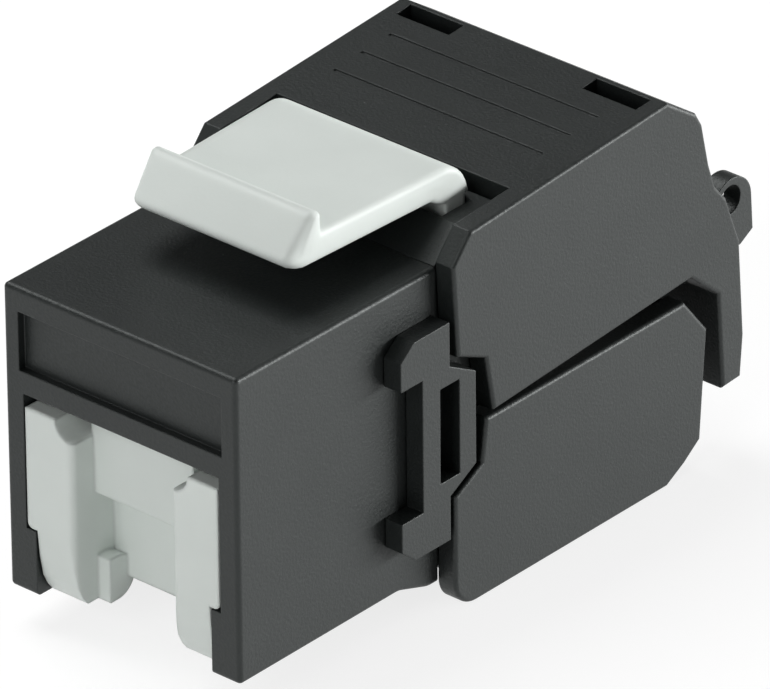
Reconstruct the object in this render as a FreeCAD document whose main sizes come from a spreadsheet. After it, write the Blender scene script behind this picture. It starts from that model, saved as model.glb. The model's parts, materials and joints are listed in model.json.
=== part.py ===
import FreeCAD, Part
import os
import re
import Sketcher

# Keystone jack with two hinged wiring wings and a removable dust cap.
# Frame: X across the jack, Y from the front face to the rear, Z up, millimetres.
# The origin is the bottom front edge of the block, at mid width.

V = FreeCAD.Vector
doc = FreeCAD.newDocument("KeystoneJack")
sheet = doc.addObject("Spreadsheet::Sheet", "Sizes")

sizes = {
    # front block and its snap-in shoulder
    "body_width": 14.5, "body_height": 16.3, "body_length": 14.0,
    "edge_round": 0.25, "catch_drop": 0.7, "catch_start": 11.3, "catch_end": 13.4,
    "catch_round": 1.4, "front_wall": 1.7, "side_wall": 1.15, "top_wall": 1.4,
    "floor_wall": 1.1,
    # plug port
    "port_top": 10.74, "port_ledge": 3.5, "tab_width": 11.0, "notch_depth": 5.2,
    "stop_front": 1.75, "stop_back": 2.95, "stop_height": 2.4, "stop_gap": 7.0,
    # sunk label field on the front face
    "label_width": 12.65, "label_low": 11.9, "label_high": 15.05, "label_depth": 0.45,
    # small ramp on each flank that the side clip snaps over
    "nub_front": 13.15, "nub_back": 13.9, "nub_half": 2.3, "nub_rise": 0.3, "nub_land": 0.25,
    # clearances, and how far joined shapes run into one another and cuts run past a face
    "fit_gap": 0.1, "pin_gap": 0.05, "overlap": 0.1, "cut_past": 1.0,
    # dust cap
    "cap_top": 10.05, "cap_low": 0.1, "cap_inner": 3.1, "cap_scoop": 1.05, "cap_length": 8.2,
    "cap_knee": 1.6, "cap_neck": 4.1, "cap_upper_face": 1.5, "cap_lower_face": 2.8,
    "cap_plate": 1.1, "cap_shelf": 5.75, "cap_plate_low": 1.1, "cap_plate_high": 10.4,
    "cap_round": 0.35, "cap_corner": 0.3, "curl_top": 3.5, "curl_high": 2.2, "curl_high_in": 0.12,
    "curl_mid": 1.1, "curl_mid_in": 0.32, "curl_low": 0.5, "curl_low_in": 0.6, "curl_in": 0.9,
    "knob_inner": 2.3, "knob_front": 1.6, "knob_radius": 1.17, "knob_y": 2.15, "knob_height": 1.28,
    # contact insert inside the block
    "insert_front": 2.0, "insert_roof": 11.3, "insert_wall": 1.5, "insert_round": 0.6,
    "comb_slot": 0.6, "comb_low": 4.5, "comb_depth": 0.7, "roof_slot": 1.5, "nose_gap": 0.55,
    # spring contacts
    "contact_count": 8, "contact_pitch": 1.02, "wire_width": 0.4, "wire_thick": 0.3,
    "wire_run": 12.3, "wire_bend": 4.5, "wire_nose": 3.9, "wire_drop": 10.8, "wire_tip": 12.1,
    "wire_tip_height": 7.0, "tail_back": 0.45,
    # circuit board
    "board_width": 11.6, "board_thick": 1.0, "board_front": 12.75, "board_back": 25.0,
    "tail_hole": 0.36,
    # terminal carrier
    "collar_front": 15.95, "collar_wall": 0.6, "collar_rise": 0.9,
    "mid_height": 8.05, "carrier_gap": 0.05, "flank_back": 16.9, "head_back": 19.1,
    "head_half": 8.15, "core_width": 13.8, "core_half": 5.15, "core_back": 24.6,
    "terminal_count": 4, "slot_pitch": 3.2, "slot_width": 1.3, "slot_depth": 2.7, "terminal_y": 21.7,
    # insulation-displacement terminals
    "blade_width": 2.4, "blade_thick": 0.4, "blade_top": 4.85, "blade_slot": 0.4,
    "blade_root": 2.3, "blade_nick": 0.5, "blade_lead": 0.2, "tail_width": 0.5,
    "tail_shift": 0.45,
    # side clips of the carrier
    "clip_thick": 1.05, "clip_half": 5.85, "clip_front": 10.25, "clip_chamfer": 0.95,
    "clip_arm": 3.55, "clip_spine_front": 11.78, "clip_spine_back": 13.7,
    "clip_heel_back": 15.55, "clip_heel": 2.48, "clip_shoulder": 3.5,
    "window_front": 13.0, "window_back": 14.4, "window_half": 2.54,
    # wing hinge
    "hinge_y": 15.3, "hinge_half": 7.85, "pin_radius": 0.5, "pin_length": 1.05,
    "ear_radius": 0.85, "ear_inner": 6.15, "wing_open": 3.7,
    # both wings
    "wing_wall": 1.1, "wing_half": 10.0, "wing_front": 14.06, "wing_round": 1.5, "wing_bevel": 1.37,
    "wing_shoulder": 3.75, "wing_neck": 2.72, "wing_neck_y": 16.0, "wing_nose_y": 16.34,
    "deck_front": 19.44, "wing_edge_round": 0.2, "cable_radius": 3.3,
    # upper wing
    "upper_meet": -0.35, "bevel_start": 29.7, "bevel_back": 31.75, "bevel_low": 8.4,
    "bevel_wall_in": 0.4, "bevel_wall": 0.65,
    "back_top": 7.6, "back_top_y": 32.15, "back_mid": 5.2, "back_mid_y": 32.52,
    "hook_inner_y": 32.75, "hook_neck": 3.8, "hook_neck_y": 32.9, "hook_swell": 2.78,
    "hook_swell_y": 33.65, "hook_back_y": 34.5, "hook_back": 0.0, "hook_low": 7.55,
    "hook_toe": 0.35, "hook_heel": 5.3, "hook_throat": 2.2, "hook_throat_run": 1.9,
    "hook_inside": 6.4, "behind_top": 5.6, "flap_inside": 4.2, "flap_thick": 0.6, "flap_top": 0.6,
    "flap_low": 4.0,
    "eye_y": 34.5, "eye_height": 1.8, "eye_outer": 1.45, "eye_foot": -0.19, "eye_toe_y": 35.0,
    "eye_toe": -0.64, "eye_hole": 0.78, "eye_hole_y": 34.39, "eye_hole_height": 2.13,
    "eye_inside": 6.9, "eye_face": 7.9,
    "groove_count": 3, "groove_first": 22.6, "groove_pitch": 2.02, "groove_width": 0.2,
    "groove_depth": 0.09, "groove_length": 13.0,
    "slot_front": 28.35, "slot_length": 1.1, "slot_inner": 4.15, "slot_outer": 7.5,
    # lower wing
    "lower_meet": 0.43, "lower_back_y": 32.55, "lower_back": 2.56, "lower_corner": 30.85,
    "heel_back_y": 32.08, "heel_back": 8.45, "heel_low_y": 29.6, "heel_mid_y": 30.9,
    "heel_mid": 9.3, "heel_wall": 0.4,
    # wire presses inside the wings
    "press_gap": 0.15, "press_front": 19.7, "press_back": 28.1, "press_depth": 2.95,
    "rib_width": 1.0, "rib_reach": 3.95, "rib_front": 19.9, "rib_split": 20.8,
    "rib_resume": 22.6, "rib_back": 24.4, "lug_rise": 0.5, "lug_thick": 0.6,
    "lug_drop": 1.5, "lug_root": 0.4,
    # snap latch
    "latch_width": 10.88, "latch_top": 19.7, "latch_low": 18.25, "latch_rear": 18.63,
    "latch_knee": 17.42, "latch_bend": 1.0, "lobe_low": 17.9, "lobe_front": 16.45,
    "lobe_start": 15.9, "root_front": 16.9, "root_back": 18.2, "root_gap": 0.36,
    "bead_height": 15.2, "bead_radius": 1.0, "latch_round": 0.42,
    "lip_width": 10.0, "lip_front": 6.25, "lip_low": 18.72, "lip_heel": 6.85, "lip_top_front": 7.62,
    "lip_height": 21.0, "lip_back": 8.29, "lip_top_round": 0.36, "lip_low_round": 0.5,
}

for row, (alias, number) in enumerate(sizes.items(), start=1):
    sheet.set("A%d" % row, alias.replace("_", " "))
    sheet.set("B%d" % row, str(number))
    sheet.setAlias("B%d" % row, alias)
doc.recompute()


def named(text):
    """Turn each size's name in an expression into a reference to its cell."""
    def cell(match):
        word = match.group()
        return "Sizes." + word if word in sizes else word
    return re.sub(r"[a-z]\w*", cell, str(text))


def size(name):
    return float(sheet.get(name))


def bind(thing, **links):
    for prop, text in links.items():
        thing.setExpression(prop.replace("__", "."), named(text))


def new_body(label):
    body = doc.addObject("PartDesign::Body", label)
    body.Label = label
    return body


def origin_part(body, role):
    return next(item for item in body.Origin.OriginFeatures if item.Role == role)


def outline(body, name, plane, corners, offset="0"):
    """A closed sketch of straight runs; each corner is a pair of expressions."""
    sketch = body.newObject("Sketcher::SketchObject", name)
    sketch.AttachmentSupport = [(origin_part(body, plane + "_Plane"), "")]
    sketch.MapMode = "FlatFace"
    sketch.setExpression("AttachmentOffset.Base.z", named(offset))
    count = len(corners)
    for index in range(count):
        start = V(index, index * index, 0)
        after = (index + 1) % count
        sketch.addGeometry(Part.LineSegment(start, V(after, after * after, 0)), False)
    for index in range(count):
        sketch.addConstraint(Sketcher.Constraint("Coincident", index, 2, (index + 1) % count, 1))
    for index, corner in enumerate(corners):
        for kind, text in zip(("DistanceX", "DistanceY"), corner):
            spot = sketch.addConstraint(Sketcher.Constraint(kind, -1, 1, index, 1, 1.0))
            sketch.setExpression("Constraints[%d]" % spot, named(text))
    return sketch


def pad(body, sketch, length, both=False, back=False, cut=False):
    """Extrude a sketch; both means half to each side of its plane."""
    kind = "Pocket" if cut else "Pad"
    feature = body.newObject("PartDesign::" + kind, sketch.Name + kind)
    feature.Profile = sketch
    feature.SideType = "Symmetric" if both else "One side"
    feature.Reversed = back
    bind(feature, Length=length)
    return feature


def block(body, name, x, y, z, cut=False):
    """A box between pairs of expressions, added or cut away."""
    kind = "SubtractiveBox" if cut else "AdditiveBox"
    box = body.newObject("PartDesign::" + kind, name)
    bind(box, Length="(%s) - (%s)" % (x[1], x[0]), Width="(%s) - (%s)" % (y[1], y[0]),
         Height="(%s) - (%s)" % (z[1], z[0]),
         Placement__Base__x=x[0], Placement__Base__y=y[0], Placement__Base__z=z[0])
    return box


def rod(body, name, radius, x, y, z, cut=False):
    """A cylinder along X from x[0] to x[1] at height z and depth y."""
    kind = "SubtractiveCylinder" if cut else "AdditiveCylinder"
    bar = body.newObject("PartDesign::" + kind, name)
    bar.Placement = FreeCAD.Placement(V(), FreeCAD.Rotation(V(0, 1, 0), 90))
    bind(bar, Radius=radius, Height="(%s) - (%s)" % (x[1], x[0]),
         Placement__Base__x=x[0], Placement__Base__y=y, Placement__Base__z=z)
    return bar


def span(hand, inner, outer):
    """The low and high ends of a run across X on the right (+1) or left (-1)."""
    return (inner, outer) if hand > 0 else ("-(%s)" % outer, "-(%s)" % inner)


def span_of(half):
    """A run across X that is even about the mid plane."""
    return ("-(%s)" % half, half)


def plate_at(body, sketch_name, corners, hand, inner, thick):
    """A flat plate that stands across X and grows outward from its inner face."""
    face = outline(body, sketch_name, "YZ", corners, offset="%d * (%s)" % (hand, inner))
    return pad(body, face, thick, back=hand < 0)


def row_of(body, name, feature, count, pitch, axis="X"):
    """Repeat one feature along an axis."""
    row = body.newObject("PartDesign::LinearPattern", name)
    row.Originals = [feature]
    row.Direction = (origin_part(body, axis + "_Axis"), [""])
    bind(row, Occurrences=count, Length="(%s) * ((%s) - 1)" % (pitch, count))
    body.Tip = row
    return row


def rounded(body, name, radius, test, kind="Fillet"):
    """Round or bevel the edges of the latest feature that pass the test."""
    doc.recompute()
    base = body.Tip
    picked = ["Edge%d" % (i + 1) for i, edge in enumerate(base.Shape.Edges) if test(edge)]
    if not picked:
        raise RuntimeError("no edges found for " + name)
    feature = body.newObject("PartDesign::" + kind, name)
    feature.Base = (base, picked)
    bind(feature, **{"Radius" if kind == "Fillet" else "Size": radius})
    return feature


def near(number, target):
    return abs(number - target) < 1e-4


def runs_along(edge, axis):
    """True for a straight edge along one axis."""
    box = edge.BoundBox
    spans = {"X": box.XLength, "Y": box.YLength, "Z": box.ZLength}
    return spans[axis] > 0.01 and all(v < 1e-4 for k, v in spans.items() if k != axis)


def passes(edge, x=None, y=None, z=None):
    """True where the middle of the edge's box is at the given places."""
    centre = edge.BoundBox.Center
    return all(want is None or near(got, want) for got, want in zip(centre, (x, y, z)))


def turned_open(body, side):
    """Turn a body about a wing hinge: side +1 is the upper hinge."""
    body.setExpression("Placement", named(
        "placement(vector(0; 0; 0); rotation(vector(1; 0; 0); %d * wing_open);"
        " vector(0; hinge_y; mid_height + %d * hinge_half))" % (side, side)))


half_body = "body_width / 2"
port_half = "body_width / 2 - side_wall"
wing_outer = "body_width / 2 + wing_wall"
first_terminal = "(1 - terminal_count) / 2 * slot_pitch"


def level(side, text):
    """Height of a point given by its distance above or below mid height."""
    return "mid_height %s (%s)" % ("+" if side > 0 else "-", text)


# --- front block: port, label field, fixed shoulder below, clip ramps on the flanks
def front_housing():
    body = new_body("front_housing")
    side = outline(body, "HousingSide", "YZ", [
        ("0", "0"), ("catch_start", "0"), ("catch_end", "-catch_drop"),
        ("body_length", "-catch_drop"), ("body_length", "body_height"), ("0", "body_height")])
    pad(body, side, "body_width", both=True)
    rounded(body, "ShoulderCurve", "catch_round", lambda e: runs_along(e, "X") and (
        passes(e, y=size("catch_start")) or passes(e, y=size("catch_end"))))
    rounded(body, "OuterEdges", "edge_round", lambda e: (
        near(abs(e.BoundBox.Center.x), size("body_width") / 2)
        and e.BoundBox.YMax < size("body_length") - 0.01
        or runs_along(e, "Y") and passes(e, z=size("body_height"))
        or near(e.BoundBox.YMax, 0)))
    port = outline(body, "PortMouth", "XZ", [
        ("-(%s)" % port_half, "port_ledge"), ("-tab_width / 2", "port_ledge"),
        ("-tab_width / 2", "floor_wall"), ("tab_width / 2", "floor_wall"),
        ("tab_width / 2", "port_ledge"), (port_half, "port_ledge"),
        (port_half, "port_top"), ("-(%s)" % port_half, "port_top")])
    pad(body, port, "body_length", cut=True)
    block(body, "InsertBay", ("-(%s)" % port_half, port_half), ("front_wall", "body_length + cut_past"),
          ("port_ledge", "body_height - top_wall"), cut=True)
    block(body, "BottomNotch", ("-tab_width / 2", "tab_width / 2"), ("-cut_past", "notch_depth"),
          ("-cut_past", "port_ledge"), cut=True)
    block(body, "LabelField", ("-label_width / 2", "label_width / 2"), ("-cut_past", "label_depth"),
          ("label_low", "label_high"), cut=True)
    for hand in (1, -1):
        block(body, "TabStop", span(hand, "stop_gap / 2", "tab_width / 2 + overlap"),
              ("stop_front", "stop_back"), ("0", "stop_height"))
        rows = [("-overlap", "nub_front"), ("0", "nub_front"), ("nub_rise", "nub_back - nub_land"),
                ("nub_rise", "nub_back"), ("-overlap", "nub_back")]
        ramp = outline(body, "ClipRamp", "XY", [
            ("%d * (%s + %s)" % (hand, half_body, x), y) for x, y in rows], offset="mid_height - nub_half")
        pad(body, ramp, "2 * nub_half")
    return body


# --- removable dust cap: two side arms, a stepped front plate and two snap knobs
def dust_cap():
    body = new_body("dust_cap")
    outer = "(%s - fit_gap)" % port_half
    tab_half = "(tab_width / 2 - fit_gap)"
    ledge = "port_ledge + fit_gap"
    plate = outline(body, "CapPlate", "YZ", [
        ("cap_upper_face", "cap_shelf"), ("cap_lower_face", "cap_shelf"),
        ("cap_lower_face", "cap_plate_low"), ("cap_lower_face + cap_plate", "cap_plate_low"),
        ("cap_lower_face + cap_plate", "cap_shelf + cap_plate"),
        ("cap_upper_face + cap_plate", "cap_shelf + cap_plate"),
        ("cap_upper_face + cap_plate", "cap_plate_high"), ("cap_upper_face", "cap_plate_high")])
    pad(body, plate, "2 * (cap_inner + overlap)", both=True)
    scoop = [("cap_inner + cap_scoop * cos(%s)" % turn, "cap_top - cap_scoop * sin(%s)" % turn)
             for turn in (22.5, 45, 67.5)]
    arm_shape = [
        ("cap_inner", "cap_low"), (tab_half, "cap_low"), (tab_half, ledge), (outer, ledge),
        (outer, "cap_top"), ("cap_inner + cap_scoop", "cap_top")] + scoop + [
        ("cap_inner", "cap_top - cap_scoop")]
    for hand in (1, -1):
        arm = outline(body, "CapArm", "XZ", [("%d * (%s)" % (hand, x), z) for x, z in arm_shape])
        pad(body, arm, "cap_neck", back=True)
        block(body, "StopRelief", span(hand, "stop_gap / 2 - fit_gap", "tab_width / 2"),
              ("cap_knee", "cap_neck + cut_past"), ("-cut_past", "stop_height + fit_gap"), cut=True)
        block(body, "CapRail", span(hand, "cap_inner + cap_scoop", outer),
              ("cap_neck - overlap", "cap_length"), (ledge, "cap_top"))
        block(body, "KnobFace", span(hand, "knob_inner", "cap_inner + overlap"),
              ("knob_front", "knob_y"), ("knob_height - knob_radius", "knob_height + knob_radius"))
        rod(body, "KnobBack", "knob_radius", span(hand, "knob_inner", "stop_gap / 2 - fit_gap"),
            "knob_y", "knob_height")
        block(body, "KnobFlat", span(hand, "knob_inner - overlap", "cap_inner"),
              ("knob_y - knob_radius - overlap", "knob_front"), ("-cut_past", "stop_height"), cut=True)
    rounded(body, "ArmFrontEdges", "cap_round", lambda e: near(e.BoundBox.YMax, 0)
            and runs_along(e, "Z") and near(abs(e.BoundBox.Center.x), size("cap_inner")))
    curl = outline(body, "ArmCurl", "YZ", [
        ("-cut_past", "curl_top"), ("0", "curl_top"), ("curl_high_in", "curl_high"),
        ("curl_mid_in", "curl_mid"), ("curl_low_in", "curl_low"), ("curl_in", "cap_low"),
        ("curl_in", "-cut_past"), ("-cut_past", "-cut_past")])
    pad(body, curl, "body_width", both=True, cut=True)
    rounded(body, "LedgeCorner", "cap_corner", lambda e: runs_along(e, "Y") and passes(
        e, z=size("port_ledge") + size("fit_gap"))
        and abs(e.BoundBox.Center.x) > size("tab_width") / 2)
    rounded(body, "ShelfEdge", "cap_round", lambda e: runs_along(e, "X") and passes(
        e, y=size("cap_upper_face"), z=size("cap_shelf")))
    return body


# --- insert that holds the spring contacts over the port and at the rear
def contact_carrier():
    body = new_body("contact_carrier")
    back = "(body_length - carrier_gap)"
    inner = "(%s - insert_wall)" % back
    high = "(body_height - top_wall - carrier_gap)"
    half = "(%s - carrier_gap)" % port_half
    side = outline(body, "InsertSide", "YZ", [
        ("insert_front", "insert_roof"), (inner, "insert_roof"), (inner, "floor_wall + carrier_gap"),
        (back, "floor_wall + carrier_gap"), (back, high), ("insert_front", high)])
    pad(body, side, "2 * " + half, both=True)
    rounded(body, "RoofCorner", "insert_round", lambda e: runs_along(e, "X") and passes(
        e, y=size("insert_front"), z=size("insert_roof")))
    for hand in (1, -1):
        block(body, "LedgeStep", span(hand, "tab_width / 2 - carrier_gap", half + " + cut_past"),
              (inner + " - cut_past", back + " + cut_past"), ("-cut_past", "port_ledge + carrier_gap"),
              cut=True)
    first = "-contact_pitch * (contact_count - 1) / 2"
    slot = (first + " - comb_slot / 2", first + " + comb_slot / 2")
    roof = block(body, "RoofSlot", slot, ("wire_nose - wire_thick / 2 - nose_gap", back + " + cut_past"),
                 ("insert_roof - cut_past", "insert_roof + roof_slot"), cut=True)
    row_of(body, "RoofSlots", roof, "contact_count", "contact_pitch")
    comb = block(body, "CombSlot", slot, (inner + " - cut_past", inner + " + comb_depth"),
                 ("comb_low", "mid_height - board_thick"), cut=True)
    row_of(body, "CombSlots", comb, "contact_count", "contact_pitch")
    tail = block(body, "TailSlot", slot, (back + " - tail_back - wire_thick", back + " + cut_past"),
                 ("mid_height", "insert_roof + overlap"), cut=True)
    row_of(body, "TailSlots", tail, "contact_count", "contact_pitch")
    block(body, "BoardSlot", ("-board_width / 2 - fit_gap", "board_width / 2 + fit_gap"),
          ("board_front - fit_gap", back + " + cut_past"),
          (level(-1, "board_thick / 2 + carrier_gap"), level(1, "board_thick / 2 + carrier_gap")), cut=True)
    return body


# --- one spring contact: board tail, run along the roof, fold at the mouth, sloping leg
def spring_contact(number):
    body = new_body("spring_contact_%d" % number)
    place = "contact_pitch * (%d - (contact_count + 1) / 2)" % number
    tail_y = "body_length - carrier_gap - tail_back"
    board_top = "mid_height + board_thick / 2"
    stops = [(tail_y, board_top), (tail_y, "wire_run"), ("wire_bend", "wire_run"),
             ("wire_nose", "(wire_run * 2 + wire_drop) / 3"),
             ("wire_nose", "(wire_run + wire_drop * 2) / 3"),
             ("wire_bend", "wire_drop"), ("wire_tip", "wire_tip_height")]
    path = body.newObject("Sketcher::SketchObject", "WirePath%d" % number)
    path.AttachmentSupport = [(origin_part(body, "YZ_Plane"), "")]
    path.MapMode = "FlatFace"
    path.setExpression("AttachmentOffset.Base.z", named(place))
    for index in range(len(stops) - 1):
        ahead = index + 1
        path.addGeometry(Part.LineSegment(V(index, index * index, 0), V(ahead, ahead * ahead, 0)), False)
    for index in range(len(stops) - 2):
        path.addConstraint(Sketcher.Constraint("Coincident", index, 2, index + 1, 1))
    for index, stop in enumerate(stops):
        line, end = (index, 1) if index < len(stops) - 1 else (index - 1, 2)
        for kind, text in zip(("DistanceX", "DistanceY"), stop):
            spot = path.addConstraint(Sketcher.Constraint(kind, -1, 1, line, end, 1.0))
            path.setExpression("Constraints[%d]" % spot, named(text))
    left, right = place + " - wire_width / 2", place + " + wire_width / 2"
    fore, aft = tail_y + " - wire_thick / 2", tail_y + " + wire_thick / 2"
    strip = outline(body, "WireSection%d" % number, "XY", [
        (left, fore), (right, fore), (right, aft), (left, aft)], offset=board_top)
    doc.recompute()
    wire = body.newObject("PartDesign::AdditivePipe", "Wire%d" % number)
    wire.Profile = strip
    wire.Spine = path
    wire.Transition = "Right corner"
    return body


# --- board between the contacts and the terminals
def circuit_board():
    body = new_body("circuit_board")
    plan = outline(body, "BoardPlan", "XY", [
        ("-board_width / 2", "board_front"), ("board_width / 2", "board_front"),
        ("board_width / 2", "board_back"), ("-board_width / 2", "board_back")],
        offset="mid_height - board_thick / 2")
    pad(body, plan, "board_thick")
    for side in (1, -1):
        hole = body.newObject("PartDesign::SubtractiveCylinder", "TailHole")
        bind(hole, Radius="tail_hole", Height="board_thick",
             Placement__Base__x="%s + %d * tail_shift" % (first_terminal, side),
             Placement__Base__y="terminal_y", Placement__Base__z="mid_height - board_thick / 2")
        row_of(body, "TailHoles", hole, "terminal_count", "slot_pitch")
    return body


# --- one forked terminal: side +1 stands up from the board, -1 hangs below it
def terminal(side, number):
    label = "idc_%s_%d" % ("upper" if side > 0 else "lower", number)
    body = new_body(label)
    centre = "slot_pitch * (%d - (terminal_count + 1) / 2)" % number
    shift = "%d * tail_shift" % side
    root = "board_thick / 2 + fit_gap"
    half = "blade_width / 2"
    shape = [("%s - tail_width / 2" % shift, "fit_gap"), ("%s + tail_width / 2" % shift, "fit_gap"),
             ("%s + tail_width / 2" % shift, root), (half, root), (half, "blade_top - blade_nick"),
             (half + " - blade_nick", "blade_top"), ("blade_slot / 2 + blade_lead", "blade_top"),
             ("blade_slot / 2", "blade_top - blade_nick"), ("blade_slot / 2", "blade_root"),
             ("-blade_slot / 2", "blade_root"), ("-blade_slot / 2", "blade_top - blade_nick"),
             ("-blade_slot / 2 - blade_lead", "blade_top"), ("blade_nick - %s" % half, "blade_top"),
             ("-" + half, "blade_top - blade_nick"), ("-" + half, root),
             ("%s - tail_width / 2" % shift, root)]
    blade = outline(body, "Blade", "XZ", [
        ("%s + %s" % (centre, x), level(side, z)) for x, z in shape], offset="-terminal_y")
    pad(body, blade, "blade_thick", both=True)
    return body


# --- carrier: head with latch seat and hinge ears, terminal core, side clips
def terminal_carrier():
    body = new_body("terminal_carrier")
    front = "(body_length + carrier_gap)"
    side = outline(body, "CarrierSide", "YZ", [
        (front, "mid_height - head_half"), ("head_back", "mid_height - head_half"),
        ("head_back", "mid_height - core_half"), ("core_back", "mid_height - core_half"),
        ("core_back", "mid_height + core_half"), ("head_back", "mid_height + core_half"),
        ("head_back", "mid_height + head_half"), (front, "mid_height + head_half")])
    pad(body, side, "core_width", both=True)
    clip_inner = "(%s + carrier_gap)" % half_body
    rows = [("clip_heel_back", "clip_heel"), ("clip_spine_back", "clip_shoulder"),
            ("clip_spine_back", "clip_half"), ("clip_front + clip_chamfer", "clip_half"),
            ("clip_front", "clip_half - clip_chamfer * 0.8"), ("clip_front", "clip_arm"),
            ("clip_spine_front", "clip_arm")]
    clip_shape = [(y, level(1, z)) for y, z in rows] + [(y, level(-1, z)) for y, z in reversed(rows)]
    for hand in (1, -1):
        block(body, "Flank", span(hand, "core_width / 2 - overlap", half_body + " - fit_gap"),
              (front, "flank_back"), (level(-1, "hinge_half"), level(1, "hinge_half")))
        block(body, "ClipHeel", span(hand, "core_width / 2 - overlap", clip_inner + " + overlap"),
              ("window_back", "clip_heel_back"), (level(-1, "clip_heel"), level(1, "clip_heel")))
        plate_at(body, "SideClip", clip_shape, hand, clip_inner, "clip_thick")
        block(body, "ClipWindow", span(hand, clip_inner, clip_inner + " + clip_thick + cut_past"),
              ("window_front", "window_back"), (level(-1, "window_half"), level(1, "window_half")),
              cut=True)
        for turn in (1, -1):
            spot = level(turn, "hinge_half")
            rod(body, "HingeEar", "ear_radius", span(hand, "ear_inner", half_body + " - fit_gap"),
                "hinge_y", spot)
            rod(body, "HingeBore", "pin_radius + pin_gap", span(hand, "ear_inner - cut_past", half_body),
                "hinge_y", spot, cut=True)
    block(body, "BoardTunnel", ("-board_width / 2 - fit_gap", "board_width / 2 + fit_gap"),
          ("body_length - cut_past", "board_back + cut_past"),
          (level(-1, "board_thick / 2 + carrier_gap"), level(1, "board_thick / 2 + carrier_gap")), cut=True)
    block(body, "LatchCollar", span_of("(latch_width / 2 + collar_wall)"), ("collar_front", "head_back"),
          (level(1, "head_half - overlap"), level(1, "head_half + collar_rise")))
    seat_top = level(1, "head_half + collar_rise + cut_past")
    seat = outline(body, "LatchSeat", "YZ", [
        ("root_front - root_gap", seat_top), ("root_front - root_gap", "bead_height"),
        ("root_back + root_gap", "bead_height"), ("root_back + root_gap", seat_top)])
    pad(body, seat, "latch_width + 2 * fit_gap", both=True, cut=True)
    rod(body, "LatchSocket", "bead_radius + pin_gap", span_of("latch_width / 2 + fit_gap"),
        "(root_front + root_back) / 2", "bead_height", cut=True)
    for turn, name in ((1, "Upper"), (-1, "Lower")):
        first = first_terminal
        top = sorted_levels(turn, "core_half - slot_depth", "core_half + cut_past")
        slot = block(body, name + "WireSlot", (first + " - slot_width / 2", first + " + slot_width / 2"),
                     ("head_back", "core_back + cut_past"), top, cut=True)
        row_of(body, name + "WireSlots", slot, "terminal_count", "slot_pitch")
        deep = sorted_levels(turn, "board_thick / 2", "core_half + cut_past")
        pocket = block(body, name + "BladeSlot",
                       (first + " - blade_width / 2 - fit_gap", first + " + blade_width / 2 + fit_gap"),
                       ("terminal_y - blade_thick / 2 - fit_gap", "terminal_y + blade_thick / 2 + fit_gap"),
                       deep, cut=True)
        row_of(body, name + "BladeSlots", pocket, "terminal_count", "slot_pitch")
    return body


def sorted_levels(side, near_mid, far):
    """Low and high expressions of a span that starts near mid height."""
    pair = (level(side, near_mid), level(side, far))
    return pair if side > 0 else pair[::-1]


# --- wings: side plates, deck, rear wall with half of the cable hole, hinge pins
def wing(label, side, corners, rear_trim, corner_kind, corner_size):
    body = new_body(label)
    contour = outline(body, "WingContour", "YZ", [(y, level(side, z)) for y, z in corners])
    pad(body, contour, "2 * (%s)" % wing_outer, both=True)
    rounded(body, "FrontCorner", corner_size, lambda e: runs_along(e, "X") and passes(
        e, y=size("wing_front"), z=size("mid_height") + side * size("wing_half")), corner_kind)
    rounded(body, "PlateEdges", "wing_edge_round", lambda e: near(
        abs(e.BoundBox.Center.x), size("body_width") / 2 + size("wing_wall")) and e.BoundBox.XLength < 1e-4)
    ahead, above = "wing_front - cut_past", "wing_half + cut_past"
    hollow = [(ahead, above), ("deck_front", above), ("deck_front", "wing_half - wing_wall")]
    hollow += rear_trim + [(ahead, "-wing_half")]
    inside = outline(body, "WingInside", "YZ", [(y, level(side, z)) for y, z in hollow])
    pad(body, inside, "body_width", both=True, cut=True)
    hole = body.newObject("PartDesign::SubtractiveCylinder", "CableHole")
    hole.Placement = FreeCAD.Placement(V(), FreeCAD.Rotation(V(1, 0, 0), -90))
    bind(hole, Radius="cable_radius", Height="hook_back_y - bevel_start", Placement__Base__y="bevel_start",
         Placement__Base__z="mid_height")
    for hand in (1, -1):
        reach = span(hand, half_body + " - pin_length", half_body + " + wing_wall / 2")
        rod(body, "HingePin", "pin_radius", reach, "hinge_y", level(side, "hinge_half"))
    return body


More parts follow.
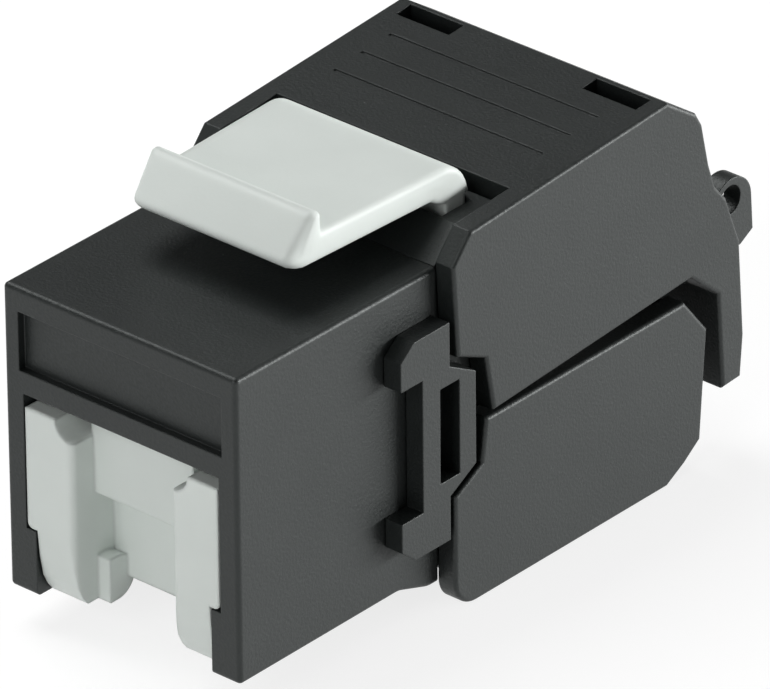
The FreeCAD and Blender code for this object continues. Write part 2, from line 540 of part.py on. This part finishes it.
def upper_wing():
    corners = [("wing_nose_y", "upper_meet"), ("wing_neck_y", "wing_neck"), ("wing_front", "wing_shoulder"),
               ("wing_front", "wing_half"), ("bevel_start", "wing_half"), ("bevel_back", "bevel_low"),
               ("back_top_y", "back_top"), ("back_mid_y", "back_mid"), ("hook_neck_y", "hook_neck"),
               ("hook_swell_y", "hook_swell"), ("hook_back_y", "hook_back"),
               ("hook_back_y", "-hook_heel"), ("hook_back_y - hook_toe", "-hook_low"),
               ("hook_inner_y", "-hook_low"), ("hook_inner_y", "-hook_throat"),
               ("hook_inner_y - hook_throat_run", "upper_meet")]
    trim = [("bevel_start - bevel_wall_in", "wing_half - wing_wall"),
            ("bevel_back - bevel_wall", "bevel_low - bevel_wall"),
            ("back_mid_y - wing_wall", "back_mid"), ("back_mid_y - wing_wall", "-wing_half")]
    body = wing("upper_wing", 1, corners, trim, "Chamfer", "wing_bevel")
    block(body, "BehindWall", span_of("hook_inside"), ("back_mid_y", "hook_back_y + cut_past"),
          ("mid_height - wing_half - cut_past", level(1, "behind_top")), cut=True)
    eye_foot = [(y, level(1, z)) for y, z in (
        ("hook_back_y - overlap", "eye_height"), ("eye_y + eye_outer", "eye_height"),
        ("eye_y + eye_outer", "eye_foot"), ("eye_toe_y", "eye_toe"), ("hook_back_y - overlap", "eye_toe"))]
    flap = [(y, level(1, z)) for y, z in (
        ("back_mid_y - overlap", "flap_top"), ("hook_inner_y + flap_thick", "flap_top"),
        ("hook_inner_y + flap_thick", "-flap_low"), ("hook_inner_y", "-flap_low"),
        ("hook_inner_y", "-hook_throat"), ("back_mid_y - overlap", "overlap - hook_throat"))]
    for hand in (1, -1):
        block(body, "DeckSlot", span(hand, "slot_inner", "slot_outer"),
              ("slot_front", "slot_front + slot_length"),
              (level(1, "wing_half - wing_wall"), level(1, "wing_half + cut_past")), cut=True)
        plate_at(body, "RearFlap", flap, hand, "flap_inside", "hook_inside - flap_inside + overlap")
        reach = span(hand, "eye_inside", "eye_face")
        rod(body, "TieEye", "eye_outer", reach, "eye_y", level(1, "eye_height"))
        plate_at(body, "EyeFoot", eye_foot, hand, "eye_inside", "eye_face - eye_inside")
        rod(body, "TieHole", "eye_hole", span(hand, "hook_inside - cut_past", "eye_face"),
            "eye_hole_y", level(1, "eye_hole_height"), cut=True)
    groove = block(body, "Groove", ("-groove_length / 2", "groove_length / 2"),
                   ("groove_first", "groove_first + groove_width"),
                   (level(1, "wing_half - groove_depth"), level(1, "wing_half + cut_past")), cut=True)
    row_of(body, "Grooves", groove, "groove_count", "groove_pitch", axis="Y")
    turned_open(body, 1)
    return body


def lower_wing():
    corners = [("wing_nose_y", "lower_meet"), ("wing_neck_y", "wing_neck"), ("wing_front", "wing_shoulder"),
               ("wing_front", "wing_half"), ("heel_low_y", "wing_half"), ("heel_mid_y", "heel_mid"),
               ("heel_back_y", "heel_back"), ("lower_back_y", "lower_back"), ("lower_corner", "lower_meet")]
    trim = [("heel_low_y - heel_wall", "wing_half - wing_wall"),
            ("heel_back_y - wing_wall", "heel_back - heel_wall"),
            ("lower_back_y - wing_wall", "lower_back"), ("lower_back_y - wing_wall", "-wing_half")]
    return wing("lower_wing", -1, corners, trim, "Fillet", "wing_round")


# --- wire press that snaps under a wing's deck; its ribs push wires into the forks
def wire_press(label, side):
    body = new_body(label)
    deck = "wing_half - wing_wall"
    half = "(body_width / 2 - press_gap)"
    bulk = sorted_levels(side, deck + " - press_depth", deck)
    block(body, "PressBlock", ("-" + half, half), ("press_front", "press_back"), bulk)
    rib_span = sorted_levels(side, "rib_reach", deck + " - press_depth + overlap")
    rib_width = (first_terminal + " - rib_width / 2", first_terminal + " + rib_width / 2")
    for name, start, end in (("FrontRib", "rib_front", "rib_split"), ("RearRib", "rib_resume", "rib_back")):
        rib = block(body, name, rib_width, (start, end), rib_span)
        row_of(body, name + "s", rib, "terminal_count", "slot_pitch")
    if side > 0:
        for hand in (1, -1):
            reach = span(hand, "slot_inner + fit_gap", half)
            block(body, "SnapArm", reach, ("press_back - overlap", "slot_front + fit_gap + lug_thick"),
                  sorted_levels(side, deck + " - lug_drop", deck + " - lug_root"))
            block(body, "SnapLug", reach, ("slot_front + fit_gap", "slot_front + fit_gap + lug_thick"),
                  sorted_levels(side, deck + " - lug_drop", deck + " + lug_rise"))
        turned_open(body, side)
    return body


# --- grey snap latch: plate, raised thumb lip and root that stands in the carrier's seat
def snap_latch():
    body = new_body("snap_latch")
    side = outline(body, "LatchSide", "YZ", [
        ("lip_front", "lip_low"), ("lip_heel", "latch_low"), ("lobe_start", "latch_low"),
        ("lobe_front", "lobe_low"), ("root_front", "lobe_low"), ("root_front", "bead_height"),
        ("root_back", "bead_height"), ("root_back", "lobe_low"), ("latch_rear", "lobe_low"),
        ("latch_knee", "latch_top"), ("lip_back", "latch_top"), ("lip_back", "lip_height"),
        ("lip_top_front", "lip_height")])
    pad(body, side, "latch_width", both=True)
    rounded(body, "RearBend", "latch_bend", lambda e: runs_along(e, "X") and passes(
        e, y=size("latch_knee"), z=size("latch_top")))
    rod(body, "LatchBead", "bead_radius", span_of("latch_width / 2"), "(root_front + root_back) / 2",
        "bead_height")
    for hand in (1, -1):
        taper = [("lip_width / 2", "lip_front - cut_past"), ("lip_width / 2", "lip_front"),
                 ("latch_width / 2", "lobe_start"), ("latch_width / 2 + cut_past", "lobe_start"),
                 ("latch_width / 2 + cut_past", "lip_front - cut_past")]
        side_cut = outline(body, "PlanTaper", "XY", [("%d * (%s)" % (hand, x), y) for x, y in taper],
                           offset="lip_height + cut_past")
        pad(body, side_cut, "lip_height + cut_past - lobe_low", cut=True)
    rounded(body, "LipRidge", "lip_top_round", lambda e: runs_along(e, "X") and (
        passes(e, y=size("lip_back"), z=size("lip_height"))
        or passes(e, y=size("lip_top_front"), z=size("lip_height"))))
    rounded(body, "LipHeel", "lip_low_round", lambda e: runs_along(e, "X") and (
        passes(e, y=size("lip_front"), z=size("lip_low"))
        or passes(e, y=size("lip_heel"), z=size("latch_low"))))
    rounded(body, "LatchSides", "latch_round", rims_latch)
    return body


def rims_latch(edge):
    """True for the edges around the lip's ends and along the top of the plate's sides."""
    half, lip_half = size("latch_width") / 2, size("lip_width") / 2
    slope = (half - lip_half) / (size("lobe_start") - size("lip_front"))
    ends = [point.Point for point in edge.Vertexes]
    if any(not near(abs(end.x), half - slope * max(size("lobe_start") - end.y, 0)) for end in ends):
        return False
    depths, heights = [end.y for end in ends], [end.z for end in ends]
    seam = near(min(depths), max(depths)) and near(max(depths), size("lobe_start"))
    upper = max(heights) > size("latch_low") + size("latch_bend") / 2
    return not runs_along(edge, "X") and not seam and (upper or max(depths) < size("lip_back"))


pieces = [front_housing(), dust_cap(), contact_carrier(), circuit_board(), terminal_carrier(),
          upper_wing(), lower_wing(), wire_press("upper_wire_press", 1), wire_press("lower_wire_press", -1),
          snap_latch()]
for count in range(1, int(size("contact_count")) + 1):
    pieces.append(spring_contact(count))
for way in (1, -1):
    for count in range(1, int(size("terminal_count")) + 1):
        pieces.append(terminal(way, count))
doc.recompute()

for thing in doc.Objects:
    if {"Invalid", "Error"} & set(thing.State):
        raise RuntimeError("%s failed: %s" % (thing.Name, thing.State))
os.makedirs("parts", exist_ok=True)
for piece in pieces:
    shape = piece.Shape
    if shape.isNull() or not shape.isValid() or len(shape.Solids) != 1:
        raise RuntimeError("%s is not one valid solid (%d)" % (piece.Label, len(shape.Solids)))
for piece in pieces:
    piece.Shape.exportStep("parts/%s.step" % piece.Label)
    print(piece.Label, round(piece.Shape.Volume, 3))
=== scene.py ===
import json
import math
import bmesh
import bpy
from mathutils import Matrix, Vector


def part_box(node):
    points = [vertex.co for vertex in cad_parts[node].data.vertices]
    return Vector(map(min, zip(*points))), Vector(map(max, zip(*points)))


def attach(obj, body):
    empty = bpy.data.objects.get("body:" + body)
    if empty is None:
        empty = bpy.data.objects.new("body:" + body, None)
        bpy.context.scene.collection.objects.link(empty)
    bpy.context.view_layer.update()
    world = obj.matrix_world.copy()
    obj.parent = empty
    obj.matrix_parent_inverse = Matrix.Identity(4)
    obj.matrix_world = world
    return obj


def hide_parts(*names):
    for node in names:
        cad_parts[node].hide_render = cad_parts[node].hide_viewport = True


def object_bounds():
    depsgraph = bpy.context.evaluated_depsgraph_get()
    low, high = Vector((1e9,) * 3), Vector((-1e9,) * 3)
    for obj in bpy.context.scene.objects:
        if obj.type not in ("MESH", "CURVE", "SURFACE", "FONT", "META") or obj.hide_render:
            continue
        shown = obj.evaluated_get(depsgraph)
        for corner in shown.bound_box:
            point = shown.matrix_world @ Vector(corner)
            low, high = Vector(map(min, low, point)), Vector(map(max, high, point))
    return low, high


# A keystone jack with its dust cap in, seen from the front right, on a white studio floor.

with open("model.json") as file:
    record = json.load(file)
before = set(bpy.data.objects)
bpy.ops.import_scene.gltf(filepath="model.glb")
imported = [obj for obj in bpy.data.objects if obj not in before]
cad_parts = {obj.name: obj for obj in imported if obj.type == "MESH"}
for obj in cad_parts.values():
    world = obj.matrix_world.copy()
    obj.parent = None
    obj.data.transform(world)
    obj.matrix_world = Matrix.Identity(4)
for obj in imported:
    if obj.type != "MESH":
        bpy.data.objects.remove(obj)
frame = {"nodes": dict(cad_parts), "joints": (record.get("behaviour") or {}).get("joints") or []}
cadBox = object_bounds()
nodes = frame["nodes"]
mm = 0.001
tiny = 1e-6  # metres, for corners that should lie on one another
print("frame loaded:", len(nodes), "pieces")


def newFinish(name):
    finish = bpy.data.materials.new(name)
    finish.use_nodes = True
    tree = finish.node_tree
    shader = tree.nodes["Principled BSDF"]
    where = tree.nodes.new("ShaderNodeTexCoord").outputs["Object"]
    return finish, tree, shader, where


def noiseAt(tree, where, grainSize, detail=2.0):
    noise = tree.nodes.new("ShaderNodeTexNoise")
    noise.inputs["Scale"].default_value = 1 / grainSize
    noise.inputs["Detail"].default_value = detail
    noise.inputs["Roughness"].default_value = 0.5
    tree.links.new(where, noise.inputs["Vector"])
    return noise.outputs["Fac"]


def spread(tree, value, low, high, start=0.3, end=0.7):
    remap = tree.nodes.new("ShaderNodeMapRange")
    remap.inputs["From Min"].default_value = start
    remap.inputs["From Max"].default_value = end
    remap.inputs["To Min"].default_value = low
    remap.inputs["To Max"].default_value = high
    tree.links.new(value, remap.inputs["Value"])
    return remap.outputs["Result"]


def tinted(tree, value, dark, light):
    mix = tree.nodes.new("ShaderNodeMix")
    mix.data_type = "RGBA"
    mix.inputs[6].default_value = (*dark, 1)
    mix.inputs[7].default_value = (*light, 1)
    tree.links.new(value, mix.inputs[0])
    return mix.outputs[2]


def softEdges(tree, shader, radius, bumps):
    # rounded edge first, then each bump layer on top of it
    edge = tree.nodes.new("ShaderNodeBevel")
    edge.samples = 6
    edge.inputs["Radius"].default_value = radius
    last = edge.outputs["Normal"]
    for height, depth in bumps:
        bump = tree.nodes.new("ShaderNodeBump")
        bump.inputs["Distance"].default_value = depth
        bump.inputs["Strength"].default_value = 1.0
        tree.links.new(height, bump.inputs["Height"])
        tree.links.new(last, bump.inputs["Normal"])
        last = bump.outputs["Normal"]
    tree.links.new(last, shader.inputs["Normal"])


fineDetail, softDetail, plainDetail = 3.0, 2.0, 1.0  # octaves of noise


def mouldedPlastic(name, look):
    finish, tree, shader, where = newFinish(name)
    grain = noiseAt(tree, where, look["grainSize"], fineDetail)
    cloud = noiseAt(tree, where, look["cloudSize"], softDetail)
    colour = tinted(tree, spread(tree, cloud, 0.0, 1.0), look["dark"], look["light"])
    if look.get("dustShare"):
        # a few pale specks of dust, one cell in many
        cells = tree.nodes.new("ShaderNodeTexVoronoi")
        cells.inputs["Scale"].default_value = 1 / look["dustSpacing"]
        tree.links.new(where, cells.inputs["Vector"])
        size = look["dustSize"]
        near = spread(tree, cells.outputs["Distance"], 1.0, 0.0, size * 0.5, size)
        parts = tree.nodes.new("ShaderNodeSeparateColor")
        tree.links.new(cells.outputs["Color"], parts.inputs["Color"])
        share = look["dustShare"]
        chosen = spread(tree, parts.outputs["Red"], 0.0, 1.0, 1 - share, 1.001 - share)
        both = tree.nodes.new("ShaderNodeMath")
        both.operation = "MULTIPLY"
        tree.links.new(near, both.inputs[0])
        tree.links.new(chosen, both.inputs[1])
        dusty = tree.nodes.new("ShaderNodeMix")
        dusty.data_type = "RGBA"
        tree.links.new(both.outputs["Value"], dusty.inputs[0])
        tree.links.new(colour, dusty.inputs[6])
        dusty.inputs[7].default_value = (*look["dust"], 1)
        colour = dusty.outputs[2]
    tree.links.new(colour, shader.inputs["Base Color"])
    tree.links.new(spread(tree, grain, look["roughLow"], look["roughHigh"]), shader.inputs["Roughness"])
    shader.inputs["IOR"].default_value = look["ior"]
    shader.inputs["Specular Tint"].default_value = (*look["tint"], 1)
    waves = noiseAt(tree, where, look["waveSize"], plainDetail)
    softEdges(tree, shader, look["edgeRadius"], [(grain, look["grainDepth"]), (waves, look["waveDepth"])])
    return finish


blackLook = {"dark": (0.0065, 0.0085, 0.0082), "light": (0.0090, 0.0112, 0.0108), "grainSize": 0.16 * mm,
             "grainDepth": 0.018 * mm, "cloudSize": 3.0 * mm, "roughLow": 0.42, "roughHigh": 0.54,
             "ior": 1.53, "tint": (0.95, 1.0, 0.985), "edgeRadius": 0.10 * mm, "waveSize": 5.0 * mm,
             "waveDepth": 0.02 * mm, "dustShare": 0.03, "dustSpacing": 1.1 * mm, "dustSize": 0.045,
             "dust": (0.14, 0.15, 0.14)}
greyLook = {"dark": (0.70, 0.747, 0.715), "light": (0.73, 0.777, 0.745), "grainSize": 0.2 * mm,
            "grainDepth": 0.004 * mm, "cloudSize": 4.0 * mm, "roughLow": 0.40, "roughHigh": 0.50,
            "ior": 1.46, "tint": (1, 1, 1), "edgeRadius": 0.30 * mm, "waveSize": 4.0 * mm,
            "waveDepth": 0.02 * mm}
insideLook = {"dark": (0.012, 0.013, 0.013), "light": (0.017, 0.018, 0.018), "grainSize": 0.15 * mm,
              "grainDepth": 0.01 * mm, "cloudSize": 2.0 * mm, "roughLow": 0.45, "roughHigh": 0.6,
              "ior": 1.5, "tint": (1, 1, 1), "edgeRadius": 0.1 * mm, "waveSize": 3.0 * mm,
              "waveDepth": 0.015 * mm}

blackPlastic = mouldedPlastic("blackPlastic", blackLook)
greyPlastic = mouldedPlastic("greyPlastic", greyLook)
insidePlastic = mouldedPlastic("insidePlastic", insideLook)


def platedMetal(name, look):
    finish, tree, shader, where = newFinish(name)
    cloud = noiseAt(tree, where, look["cloudSize"], fineDetail)
    tree.links.new(tinted(tree, spread(tree, cloud, 0.0, 1.0), look["dark"], look["light"]),
                   shader.inputs["Base Color"])
    shader.inputs["Metallic"].default_value = 1.0
    scratches = tree.nodes.new("ShaderNodeMapping")
    scratches.inputs["Scale"].default_value = (1, look["lineStretch"], look["lineStretch"])
    tree.links.new(where, scratches.inputs["Vector"])
    lines = noiseAt(tree, scratches.outputs["Vector"], look["lineSize"], softDetail)
    tree.links.new(spread(tree, lines, look["roughLow"], look["roughHigh"]), shader.inputs["Roughness"])
    softEdges(tree, shader, look["edgeRadius"], [(lines, look["lineDepth"])])
    return finish


goldLook = {"dark": (0.72, 0.50, 0.19), "light": (0.90, 0.66, 0.30), "cloudSize": 0.8 * mm,
            "lineSize": 0.4 * mm, "lineDepth": 0.003 * mm, "lineStretch": 6, "roughLow": 0.18,
            "roughHigh": 0.32, "edgeRadius": 0.05 * mm}
tinLook = {"dark": (0.52, 0.50, 0.46), "light": (0.70, 0.68, 0.63), "cloudSize": 0.7 * mm,
           "lineSize": 0.3 * mm, "lineDepth": 0.004 * mm, "lineStretch": 6, "roughLow": 0.25,
           "roughHigh": 0.42, "edgeRadius": 0.05 * mm}
goldPlate = platedMetal("goldPlate", goldLook)
tinPlate = platedMetal("tinPlate", tinLook)


def laminateFinish(name, look):
    finish, tree, shader, where = newFinish(name)
    weave = tree.nodes.new("ShaderNodeTexBrick")
    weave.inputs["Scale"].default_value = 1 / look["weaveSize"]
    weave.inputs["Mortar Size"].default_value = look["mortar"]
    weave.inputs["Color1"].default_value = (*look["mask"], 1)
    weave.inputs["Color2"].default_value = (*look["maskLight"], 1)
    weave.inputs["Mortar"].default_value = (*look["maskDark"], 1)
    tree.links.new(where, weave.inputs["Vector"])
    tree.links.new(weave.outputs["Color"], shader.inputs["Base Color"])
    cloud = noiseAt(tree, where, look["cloudSize"])
    tree.links.new(spread(tree, cloud, look["roughLow"], look["roughHigh"]), shader.inputs["Roughness"])
    softEdges(tree, shader, look["edgeRadius"], [(weave.outputs["Fac"], look["weaveDepth"])])
    return finish


boardLook = {"mask": (0.018, 0.110, 0.045), "maskLight": (0.024, 0.130, 0.055),
             "maskDark": (0.014, 0.085, 0.036),
             "weaveSize": 0.8 * mm, "weaveDepth": 0.004 * mm, "mortar": 0.03, "cloudSize": 1.5 * mm,
             "roughLow": 0.25, "roughHigh": 0.4, "edgeRadius": 0.05 * mm}
boardLaminate = laminateFinish("boardLaminate", boardLook)

wearing = {"front_housing": blackPlastic, "upper_wing": blackPlastic, "lower_wing": blackPlastic,
           "terminal_carrier": blackPlastic, "snap_latch": greyPlastic, "dust_cap": greyPlastic,
           "contact_carrier": insidePlastic, "upper_wire_press": insidePlastic,
           "lower_wire_press": insidePlastic, "circuit_board": boardLaminate}
for name, node in nodes.items():
    finish = wearing.get(name, goldPlate if name.startswith("spring") else tinPlate)
    node.data.materials.clear()
    node.data.materials.append(finish)
print("finishes on", len(nodes), "pieces")


def drawnOut(corners, half):
    # a side outline in the YZ plane, drawn out to both sides of the middle
    shape = bmesh.new()
    ring = [shape.verts.new((-half, y, z)) for y, z in corners]
    face = shape.faces.new(ring)
    grown = bmesh.ops.extrude_face_region(shape, geom=[face])["geom"]
    moved = [part for part in grown if isinstance(part, bmesh.types.BMVert)]
    bmesh.ops.translate(shape, verts=moved, vec=(2 * half, 0, 0))
    bmesh.ops.recalc_face_normals(shape, faces=shape.faces)
    return shape


def asObject(name, shape):
    data = bpy.data.meshes.new(name)
    shape.to_mesh(data)
    shape.free()
    thing = bpy.data.objects.new(name, data)
    bpy.context.scene.collection.objects.link(thing)
    return thing


def bevelled(shape, edges, width, steps):
    bmesh.ops.bevel(shape, geom=edges, offset=width, offset_type="OFFSET", segments=steps, profile=0.5,
                    affect="EDGES", material=-1)


def cutBy(piece, cutter):
    cut = piece.modifiers.new("cut", "BOOLEAN")
    cut.operation, cut.solver, cut.object = "DIFFERENCE", "EXACT", cutter
    bpy.context.view_layer.update()
    solid = bpy.data.meshes.new_from_object(piece.evaluated_get(bpy.context.evaluated_depsgraph_get()))
    piece.modifiers.clear()
    piece.data = solid
    bpy.data.objects.remove(cutter)


# hump over the hinge ears, with the seat that the latch's root stands in
humpLook = {"frontGap": 0.06 * mm, "rampRun": 2.1 * mm, "rise": 1.2 * mm, "depth": 0.25 * mm,
            "back": 19.08 * mm, "seatSide": 0.12 * mm, "seatFront": 1.13 * mm, "seatBack": 0.80 * mm,
            "seatDepth": 1.0 * mm, "pinRoom": 0.62 * mm, "pinFrom": 6.1 * mm, "pinSides": 32,
            "edge": 0.12 * mm, "edgeSteps": 3, "sharpTurn": 0.6}
blockEnd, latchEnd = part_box("front_housing")[1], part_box("snap_latch")[1]
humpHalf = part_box("upper_wire_press")[1].x
pivots = {joint["name"]: Vector(joint["pos_m"]) for joint in frame["joints"] if "pos_m" in joint}
root, hingePin = pivots["latch_press"], pivots["upper_wing_hinge"]
humpFront, humpTop, humpLow = (blockEnd.y + humpLook["frontGap"], blockEnd.z + humpLook["rise"],
                               blockEnd.z - humpLook["depth"])
shape = drawnOut([(humpFront, humpLow), (humpFront, blockEnd.z), (humpFront + humpLook["rampRun"], humpTop),
                  (humpLook["back"], humpTop), (humpLook["back"], humpLow)], humpHalf)
hump = asObject("hingeHump", shape)
seatFront, seatBack = root.y - humpLook["seatFront"], root.y + humpLook["seatBack"]
seatLow, seatTop = humpLow - humpLook["seatDepth"], humpTop + humpLook["seatDepth"]
cutBy(hump, asObject("seatCutter", drawnOut(
    [(seatFront, seatLow), (seatFront, seatTop), (seatBack, seatTop), (seatBack, seatLow)],
    latchEnd.x + humpLook["seatSide"])))
for hand in (-1, 1):
    shape = bmesh.new()
    room = 2 * (humpHalf - humpLook["pinFrom"])
    centre = Vector((hand * (humpLook["pinFrom"] + room / 2), hingePin.y, hingePin.z))
    bmesh.ops.create_cone(shape, cap_ends=True, segments=humpLook["pinSides"],
                          radius1=humpLook["pinRoom"], radius2=humpLook["pinRoom"], depth=room,
                          matrix=Matrix.Translation(centre) @ Matrix.Rotation(math.pi / 2, 4, "Y"))
    cutBy(hump, asObject("pinCutter", shape))
shape = bmesh.new()
shape.from_mesh(hump.data)
sharp = [edge for edge in shape.edges if edge.is_manifold and edge.calc_face_angle() > humpLook["sharpTurn"]
         and min(corner.co.z for corner in edge.verts) > blockEnd.z + humpLook["edge"]]
bevelled(shape, sharp, humpLook["edge"], humpLook["edgeSteps"])
shape.to_mesh(hump.data)
shape.free()
hump.data.materials.append(blackPlastic)
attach(hump, "jack")
print("hinge hump made:", len(hump.data.polygons), "faces")


# grey latch with its rounded thumb lip; the outline is in mm behind and above its pivot
latchLook = {"half": 5.44 * mm, "lipHalf": 5.0 * mm, "taperEnd": -1.65 * mm, "knee": (0.42, 4.5),
             "kneeRound": 1.25 * mm, "kneeSteps": 8, "endRound": 0.85 * mm, "endSteps": 5,
             "endReach": 1.6 * mm, "edge": 0.28 * mm, "edgeSteps": 4, "sharpTurn": 0.7,
             "rootTop": 2.9 * mm}
latchOutline = [(-11.45, 3.68), (-10.78, 3.05), (-1.65, 3.05), (-1.1, 2.7), (-0.65, 2.7), (-0.65, 0.5),
                (-0.98, 0.0), (-0.7, -0.7), (0.0, -0.98), (0.7, -0.7), (0.98, 0.0), (0.65, 0.5),
                (0.65, 2.7), (1.08, 2.7), latchLook["knee"], (-9.02, 4.5), (-9.02, 5.65), (-9.7, 5.65)]
shape = drawnOut([(root.y + y * mm, root.z + z * mm) for y, z in latchOutline], latchLook["half"])
kneeY, kneeZ = (offset * mm for offset in latchLook["knee"])
knee = [edge for edge in shape.edges if all(
    abs(end.co.y - root.y - kneeY) < tiny and abs(end.co.z - root.z - kneeZ) < tiny for end in edge.verts)]
bevelled(shape, knee, latchLook["kneeRound"], latchLook["kneeSteps"])
lipFront = min(corner.co.y for corner in shape.verts)
taperRun = root.y + latchLook["taperEnd"] - lipFront
for corner in shape.verts:
    ahead = min(max((root.y + latchLook["taperEnd"] - corner.co.y) / taperRun, 0), 1)
    corner.co.x *= 1 + (latchLook["lipHalf"] / latchLook["half"] - 1) * ahead
sharp = [edge for edge in shape.edges if edge.calc_face_angle() > latchLook["sharpTurn"]
         and max(corner.co.z for corner in edge.verts) > root.z + latchLook["rootTop"]]
bevelled(shape, sharp, latchLook["edge"], latchLook["edgeSteps"])
# the lip's front face curves back towards its ends
lipBack = root.y + latchOutline[-3][0] * mm
for hand in (-1, 1):
    for step in range(1, latchLook["endSteps"]):
        inward = latchLook["endRound"] * (1 - math.sin(math.pi / 2 * step / latchLook["endSteps"]))
        bmesh.ops.bisect_plane(shape, geom=shape.verts[:] + shape.edges[:] + shape.faces[:], dist=1e-7,
                               plane_co=(hand * (latchLook["lipHalf"] - inward), 0, 0), plane_no=(1, 0, 0))
for corner in shape.verts:
    past = abs(corner.co.x) - (latchLook["lipHalf"] - latchLook["endRound"])
    if corner.co.y < lipBack - tiny and past > 0:
        past = min(past, latchLook["endRound"])
        shift = latchLook["endRound"] - math.sqrt(latchLook["endRound"] ** 2 - past ** 2)
        corner.co.y += shift * min(1, ((lipBack - corner.co.y) / latchLook["endReach"]) ** 2)
bmesh.ops.recalc_face_normals(shape, faces=shape.faces)
for face in shape.faces:
    face.smooth = True
for edge in shape.edges:
    edge.smooth = edge.calc_face_angle() < latchLook["sharpTurn"]
latch = asObject("pressLatch", shape)
latch.data.materials.append(greyPlastic)
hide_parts("snap_latch")
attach(latch, "latch")
print("latch made:", len(latch.data.polygons), "faces")


stageLook = {"floorSize": 4.0, "floorColour": 0.90, "floorRough": 0.9, "floorShare": 0.26,
             "floorLift": 0.80, "low": 0.33, "high": 0.05, "fadeFrom": 0.08, "fadeTo": 0.32}

floorMesh = bmesh.new()
bmesh.ops.create_grid(floorMesh, x_segments=1, y_segments=1, size=stageLook["floorSize"] / 2,
                      matrix=Matrix.Translation((0, 0, cadBox[0].z)))
floor = asObject("studioFloor", floorMesh)
floorFinish, tree, shader, where = newFinish("studioFloor")
shader.inputs["Roughness"].default_value = stageLook["floorRough"]
shader.inputs["Specular IOR Level"].default_value = 0.0
# for looking at, the floor mostly glows white and only a share of it takes the shadows
ray = tree.nodes.new("ShaderNodeLightPath")
looked = ray.outputs["Is Camera Ray"]
for kind in ("Is Glossy Ray", "Is Transmission Ray"):
    either = tree.nodes.new("ShaderNodeMath")
    either.operation = "MAXIMUM"
    tree.links.new(looked, either.inputs[0])
    tree.links.new(ray.outputs[kind], either.inputs[1])
    looked = either.outputs["Value"]
full, share = (stageLook["floorColour"],) * 3, (stageLook["floorShare"],) * 3
tree.links.new(tinted(tree, looked, full, share), shader.inputs["Base Color"])
shader.inputs["Emission Color"].default_value = (1, 1, 1, 1)
lift = spread(tree, looked, 0.0, stageLook["floorLift"], 0.0, 1.0)
tree.links.new(lift, shader.inputs["Emission Strength"])
floor.data.materials.append(floorFinish)

# the room is white near the horizon and darker overhead
world = bpy.data.worlds.new("studio")
bpy.context.scene.world = world
world.use_nodes = True
tree = world.node_tree
sky = tree.nodes["Background"]
direction = tree.nodes.new("ShaderNodeTexCoord").outputs["Generated"]
parts = tree.nodes.new("ShaderNodeSeparateXYZ")
tree.links.new(direction, parts.inputs["Vector"])
fade = spread(tree, parts.outputs["Z"], 0.0, 1.0, stageLook["fadeFrom"], stageLook["fadeTo"])
room = tinted(tree, fade, (stageLook["low"],) * 3, (stageLook["high"],) * 3)
tree.links.new(room, sky.inputs["Color"])
sky.inputs["Strength"].default_value = 1.0

lampAim = Vector((0, 15 * mm, 9 * mm))
lampLook = {
    "keyLamp": {"from": (-0.31, 0.02, 0.62), "wide": 0.45, "high": 0.45, "level": 0.69},
    "rimLamp": {"from": (-0.02, 0.58, 0.36), "wide": 0.30, "high": 0.14, "level": 0.06},
    "rightLamp": {"from": (0.46, 0.52, 0.05), "wide": 0.60, "high": 0.10, "level": 1.25},
    "frontLamp": {"from": (0.04, -0.62, 0.34), "wide": 0.40, "high": 0.40, "level": 0.33},
}
for name, look in lampLook.items():
    data = bpy.data.lights.new(name, "AREA")
    data.shape = "RECTANGLE"
    data.size, data.size_y = look["wide"], look["high"]
    away = Vector(look["from"])
    data.energy = math.pi ** 2 * away.length_squared * look["level"]
    lamp = bpy.data.objects.new(name, data)
    bpy.context.scene.collection.objects.link(lamp)
    lamp.location = lampAim + away
    lamp.rotation_mode = "QUATERNION"
    lamp.rotation_quaternion = away.to_track_quat("Z", "Y")

cameraLook = {"azimuth": 41.33, "elevation": 29.4, "roll": -0.56, "distance": 586.7 * mm, "lens": 584.0,
              "sensor": 36, "near": 0.01, "far": 50,
              "aim": (0, 10 * mm, 8 * mm), "across": -5.68 * mm, "above": -2.86 * mm}
turn, rise, roll = (math.radians(cameraLook[k]) for k in ("azimuth", "elevation", "roll"))
level = Vector((math.cos(turn), math.sin(turn), 0))
back = Vector((math.sin(turn) * math.cos(rise), -math.cos(turn) * math.cos(rise), math.sin(rise)))
upright = back.cross(level)
right = math.cos(roll) * level + math.sin(roll) * upright
up = math.cos(roll) * upright - math.sin(roll) * level
cameraData = bpy.data.cameras.new("camera")
cameraData.sensor_width = cameraLook["sensor"]
cameraData.lens = cameraLook["lens"]
cameraData.clip_start, cameraData.clip_end = cameraLook["near"], cameraLook["far"]
camera = bpy.data.objects.new("camera", cameraData)
bpy.context.scene.collection.objects.link(camera)
place = Vector(cameraLook["aim"]) - cameraLook["across"] * right - cameraLook["above"] * up
place += cameraLook["distance"] * back
camera.matrix_world = Matrix((
    (right.x, up.x, back.x, place.x),
    (right.y, up.y, back.y, place.y),
    (right.z, up.z, back.z, place.z),
    (0, 0, 0, 1)))
bpy.context.scene.camera = camera
bpy.context.scene.view_settings.view_transform = "Standard"
print("stage, lamps and camera set")
